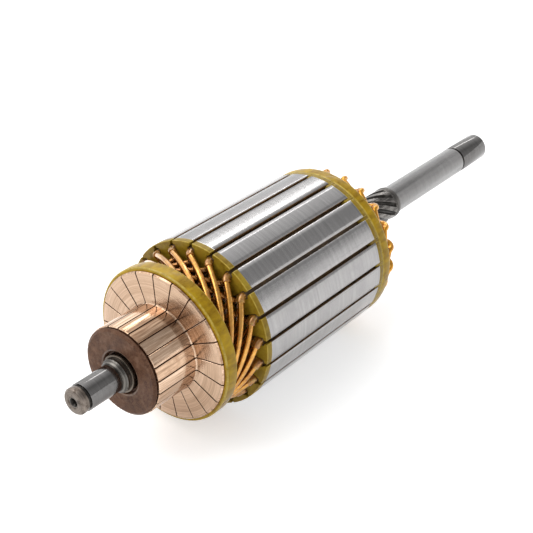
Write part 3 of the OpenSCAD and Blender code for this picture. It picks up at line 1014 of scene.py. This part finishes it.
@dataclass
class Winding:
    """The hairpin coils, their paper liners with wrapped hoods, and separators, in millimetres.

    The width, height and corner are those of the enamelled conductors.

    Attributes:
        depth: Depth of the upper conductors' outer faces below the stack's outside.
        drop: Drop of the conductors between slots and riser.
        sag: Sag of the conductors half way.
        travel: Slot pitches turned between slot and bar.
        span: Slots spanned by a coil.
        nose_lean: Turn of the noses, in degrees.
        nose_rise: Rise of the noses over the conductors in the slots.
        eye_overlap: How far the varnish in a nose's eye reaches over the bar.
        eye_fullness: Half thickness of that varnish, as a share of the conductors' width.
        bend_share: Share of a run's length that each of its two bends takes.
    """

    width: float = 2.1
    height: float = 3.2
    corner: float = 0.95
    depth: float = 2.25
    layer_gap: float = 0.4
    drop: float = 1.6
    sag: float = 0.6
    travel: float = 2.5
    span: int = 5
    nose_spread: float = 3.0
    nose_lean: float = 3.5
    nose_rise: float = 0.6
    eye_overlap: float = 0.9
    eye_fullness: float = 0.6
    hood_wall: float = 0.32
    hood_corner: float = 1.1
    hood_length: float = 2.3
    bend_share: float = 0.14
    samples: int = 22
    nose_steps: int = 12

    def __post_init__(self) -> None:
        """Finds the stations and radii that the coils pass through."""
        self.pitch = math.degrees(PITCH)
        self.upper = high("lamination_stack").z - self.depth - self.height / 2
        self.lower = self.upper - self.height - self.layer_gap
        self.riser_back = high("commutator_bar_01").x
        self.pocket = low("coil_01").x
        self.front_plate = low("front_end_plate").x
        self.rear_plate = high("rear_end_plate").x
        self.bend, self.mouth = self.riser_back + 0.5, self.front_plate - 0.1
        self.middle = (self.upper + self.lower) / 2 + self.nose_rise
        self.half_turn = math.degrees(self.nose_spread / 2 / self.middle)
        self.loop = math.hypot(self.nose_spread, self.upper - self.lower) / 2
        self.loop_x = high("coil_01").x - self.height / 2 - self.loop

    def eased(self, t: float) -> float:
        """Share of a turn that is done, with both ends bent gently.

        Args:
            t: Share of the run's length.

        Returns:
            The share of the turn.
        """
        c = self.bend_share
        if t < c:
            return t * t / (2 * c * (1 - c))
        if t > 1 - c:
            return 1 - (1 - t) ** 2 / (2 * c * (1 - c))
        return (t - c / 2) / (1 - c)

    @staticmethod
    def placed(x: float, r: float, angle: float) -> Vector:
        """Point at a station, radius and angle in degrees."""
        return Vector((x, r * math.cos(math.radians(angle)), r * math.sin(math.radians(angle))))

    def run(
        self, start: tuple[float, float, float], end: tuple[float, float, float], sag: float = 0.0
    ) -> list[Vector]:
        """Points of a run between two stations.

        Args:
            start: Station, radius and angle where it starts.
            end: The same where it ends.
            sag: Sag towards the axis half way.

        Returns:
            The points, both ends included.
        """
        out = []
        for k in range(self.samples + 1):
            t = k / self.samples
            s = self.eased(t)
            x, r, a = (p + (q - p) * f for p, q, f in zip(start, end, (t, s, s)))
            out.append(self.placed(x, r - sag * 4 * s * (1 - s), a))
        return out

    def upper_run(self, number: int) -> list[Vector]:
        """Points of a coil's upper run, from behind its riser to the mouth of its slot."""
        start = (self.bend, self.upper - self.drop, (number + self.travel) * self.pitch)
        return self.run(start, (self.mouth, self.upper, SLOT_PHASE + number * self.pitch), self.sag)

    def nose_angle(self, number: int) -> float:
        """Angle of a coil's nose, in degrees."""
        return SLOT_PHASE + (number - self.span / 2) * self.pitch + self.nose_lean

    def route(self, number: int) -> list[Vector]:
        """Centre line of a coil, from its bar round both slots and back.

        Args:
            number: Number of the coil, from 1.

        Returns:
            Its points in millimetres.
        """
        near = SLOT_PHASE + number * self.pitch
        far = near - self.span * self.pitch
        bar, far_bar = (
            (number + slots) * self.pitch for slots in (self.travel, -self.span - self.travel)
        )
        leg, nose, rise = self.rear_plate + 0.2, self.nose_angle(number), self.nose_rise
        half_height, lower_riser = (self.upper - self.lower) / 2, self.lower - self.drop
        nose_in = (self.loop_x, self.upper + rise, nose + self.half_turn)
        nose_out = (self.loop_x, self.lower + rise, nose - self.half_turn)
        points = [self.placed(self.pocket, self.upper - self.drop, bar)]
        points += self.upper_run(number)
        points += self.run((leg, self.upper, near), nose_in)
        for k in range(1, self.nose_steps):
            a = math.pi * k / self.nose_steps
            x, r = self.loop_x + self.loop * math.sin(a), self.middle + half_height * math.cos(a)
            points.append(self.placed(x, r, nose + self.half_turn * math.cos(a)))
        points += self.run(nose_out, (leg, self.lower, far))
        points += self.run((self.mouth, self.lower, far), (self.bend, lower_riser, far_bar), self.sag)
        points.append(self.placed(self.pocket, lower_riser, far_bar))
        return points

    def coils(self) -> None:
        """Sweeps and dresses each coil, darker in its lower layer and golden at its nose."""
        between = (self.upper + self.lower) / 2
        upper, lower, nose = range(3)
        for k in range(1, SLOTS + 1):
            bm = drawn_bar(self.route(k), self.width, self.height, self.corner)
            for face in bm.faces:
                middle = face.calc_center_median() / MM
                if middle.x < self.front_plate:
                    share = (self.front_plate - middle.x) / (self.front_plate - self.riser_back)
                    level = between - self.drop * share - self.sag * 4 * share * (1 - share)
                    face.material_index = lower if reach(middle) < level else upper
                elif middle.x > self.rear_plate:
                    face.material_index = nose
            finishes = [WIRE_COPPER, DARK_WIRE, NOSE_COPPER]
            publish(bm, f"coil_{k:02d}_drawn", finishes, [f"coil_{k:02d}"], 50.0)

    def liners(self) -> None:
        """Dresses the liners inside the slots and wraps a hood round each upper conductor."""
        bm = merged_copy("slot_liners")
        cut = bmesh.ops.bisect_plane(
            bm, geom=bm.verts[:] + bm.edges[:] + bm.faces[:],
            plane_co=(self.front_plate * MM, 0.0, 0.0), plane_no=(-1.0, 0.0, 0.0), clear_outer=True,
        )
        bmesh.ops.holes_fill(bm, edges=only(BMEdge, cut["geom_cut"]))
        publish(bm, "liners_folded", [PAPER], ["slot_liners"])
        bm = bmesh.new()
        width, height = (size + 2 * self.hood_wall for size in (self.width, self.height))
        for k in range(1, SLOTS + 1):
            wrapped = drawn_bar(self.hood_line(k), width, height, self.hood_corner)
            soften(wrapped, self.hood_wall, 60.0, 3)
            part = bpy.data.meshes.new("hood")
            wrapped.to_mesh(part)
            wrapped.free()
            bm.from_mesh(part)
            bpy.data.meshes.remove(part)
        publish(bm, "liner_hoods", [HOOD_PAPER], smooth_below=60.0)

    def hood_line(self, number: int) -> list[Vector]:
        """Centre line of the hood on a coil's upper conductor, up to the front plate."""
        shown = [p for p in self.upper_run(number) if p.x > self.front_plate - self.hood_length]
        end = self.placed(self.front_plate + 0.2, self.upper, SLOT_PHASE + number * self.pitch)
        return shown + [end]

    def nose_eyes(self) -> None:
        """Fills the eye of each nose with cured varnish."""
        bm = bmesh.new()
        eye = self.loop - self.height / 2 + self.eye_overlap
        size = Matrix.Diagonal((eye, eye, self.width * self.eye_fullness, 1.0)) @ Matrix.Scale(MM, 4)
        for k in range(1, SLOTS + 1):
            nose, rise = self.nose_angle(k), self.nose_rise
            outer = self.placed(self.loop_x, self.upper + rise, nose + self.half_turn)
            inner = self.placed(self.loop_x, self.lower + rise, nose - self.half_turn)
            across = (outer - inner).normalized()
            turn = Matrix((AXIS, across, AXIS.cross(across))).transposed().to_4x4()
            place = Matrix.Translation((outer + inner) / 2 * MM) @ turn
            bmesh.ops.create_uvsphere(bm, u_segments=16, v_segments=8, radius=1.0, matrix=place @ size)
        publish(bm, "nose_varnish", [NOSE_VARNISH], smooth_below=60.0)

    def build(self) -> None:
        """Builds and dresses the winding."""
        self.coils()
        self.nose_eyes()
        self.liners()
        strips = merged_copy("layer_separators")
        publish(strips, "separators_cut", [PAPER], ["layer_separators"])


# ------------ studio


@dataclass
class Studio:
    """A pale floor, soft lamps, a graded sky and the camera.

    Attributes:
        floor_level: Height of the floor in metres.
        sweep: Its reach and rise in metres, from the middle out to the low wall.
        glow: Light that it adds where it is seen, so that it is white outside the shadow.
        place: Place of the camera in metres.
        heading: Its heading from +X towards +Y, in degrees.
        dip: How far it looks down, in degrees.
        lens: Its focal length on a 36 mm sensor.
        window: Direction of the brighter side of the sky.
        dim: Least strength of the sky.
        window_gain: What it gains towards the window.
        wall_gain: What it gains towards the opposite wall.
    """

    floor_level: float = -0.0325
    sweep: tuple[tuple[float, float], ...] = (
        (0.0, 0.0), (1.0, 0.0), (6.0, 0.0), (6.8, 0.15), (7.3, 0.7), (7.5, 2.2),
    )
    glow: float = 0.52
    place: tuple[float, float, float] = (-0.2011, -0.2288, 0.2158)
    heading: float = 38.322
    dip: float = 29.671
    lens: float = 76.97
    window: tuple[float, float, float] = (0.0, 0.96, 0.28)
    dim: float = 0.42
    window_gain: float = 1.25
    wall_gain: float = 0.25

    def camera(self) -> None:
        """Places the camera."""
        data = bpy.data.cameras.new("camera")
        data.lens = self.lens
        data.sensor_width = 36.0
        data.clip_start = 0.01
        seer = bpy.data.objects.new("camera", data)
        a, e = math.radians(self.heading), math.radians(self.dip)
        ahead = Vector((math.cos(e) * math.cos(a), math.cos(e) * math.sin(a), -math.sin(e)))
        side = Vector((math.sin(a), -math.cos(a), 0.0))
        up = side.cross(ahead)
        turn = Matrix((side, up, -ahead)).transposed().to_4x4()
        seer.matrix_world = Matrix.Translation(self.place) @ turn
        bpy.context.scene.collection.objects.link(seer)
        bpy.context.scene.camera = seer

    def floor(self) -> None:
        """Lays the pale floor, swept up into a low wall far off, white where no shadow falls."""
        line = [(out, self.floor_level + rise) for out, rise in self.sweep]
        bm = spun(line, Vector((0.0, 0.0, 1.0)), 96, False)
        if sum(face.normal.z * face.calc_area() for face in bm.faces) < 0.0:
            bmesh.ops.reverse_faces(bm, faces=bm.faces)
        piece = linked(bm, "studio_floor")
        made = bpy.data.materials.new("studio floor")
        made.use_nodes = True
        graph = Graph(made.node_tree)
        shader = made.node_tree.nodes["Principled BSDF"]
        path = graph.add("ShaderNodeLightPath").outputs
        seen = graph.maths("ADD", path["Is Camera Ray"], path["Is Glossy Ray"], clamp=True)
        seen = graph.maths("ADD", seen, path["Is Transmission Ray"], clamp=True)
        graph.fill(shader, {
            "Base Color": (0.8, 0.8, 0.8, 1.0),
            "Roughness": 0.9,
            "Specular IOR Level": 0.1,
            "Emission Color": (1.0, 1.0, 1.0, 1.0),
            "Emission Strength": graph.maths("MULTIPLY", seen, self.glow),
        })
        piece.data.materials.append(made)

    def sky(self) -> None:
        """Grades the world from dim overhead to bright at a window and the wall facing it."""
        world = bpy.data.worlds.new("studio sky")
        world.use_nodes = True
        graph = Graph(world.node_tree)
        back = world.node_tree.nodes["Background"]
        place = graph.add("ShaderNodeTexCoord").outputs["Generated"]
        values = {0: place, 1: self.window}
        towards = graph.add("ShaderNodeVectorMath", values, operation="DOT_PRODUCT").outputs["Value"]
        window = graph.remap(towards, -0.1, 0.8, self.dim, self.dim + self.window_gain)
        wall = graph.remap(towards, -0.6, -0.05, self.wall_gain, 0.0)
        strength = graph.maths("ADD", window, wall)
        graph.fill(back, {"Strength": strength, "Color": (1.0, 1.0, 1.0, 1.0)})
        bpy.context.scene.world = world

    def lamp(self, name: str, place: Vector, aim: Vector, size: tuple[float, float], watts: float) -> None:
        """Adds a soft rectangular lamp.

        Args:
            name: Name of the lamp.
            place: Its place in metres.
            aim: The point that it faces.
            size: Its width and height in metres.
            watts: Its power.
        """
        data = bpy.data.lights.new(name, "AREA")
        data.shape = "RECTANGLE"
        data.size, data.size_y = size
        data.energy = watts
        source = bpy.data.objects.new(name, data)
        source.location = place
        source.rotation_euler = (aim - place).to_track_quat("-Z", "Y").to_euler()
        bpy.context.scene.collection.objects.link(source)

    def build(self) -> None:
        """Builds the studio."""
        middle = Vector((0.085, 0.0, 0.0))
        self.camera()
        self.floor()
        self.sky()
        self.lamp("key", Vector((-0.25, 0.35, 0.7)), middle, (0.5, 0.5), 2.0)
        self.lamp("strip", Vector((0.9, 0.4, 0.61)), Vector((0.9, 0.0, 0.0)), (1.3, 0.08), 1.6)
        bpy.context.scene.view_settings.view_transform = "Standard"


def main() -> None:
    """Builds every sub-assembly in order."""
    logging.basicConfig(level=logging.INFO, format="%(name)s: %(message)s")
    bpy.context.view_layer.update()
    for part in (Studio(), Shaft(), Commutator(), Stack(), Winding()):
        part.build()
        log.info("%s built", type(part).__name__)


if __name__ == "__main__":
    main()
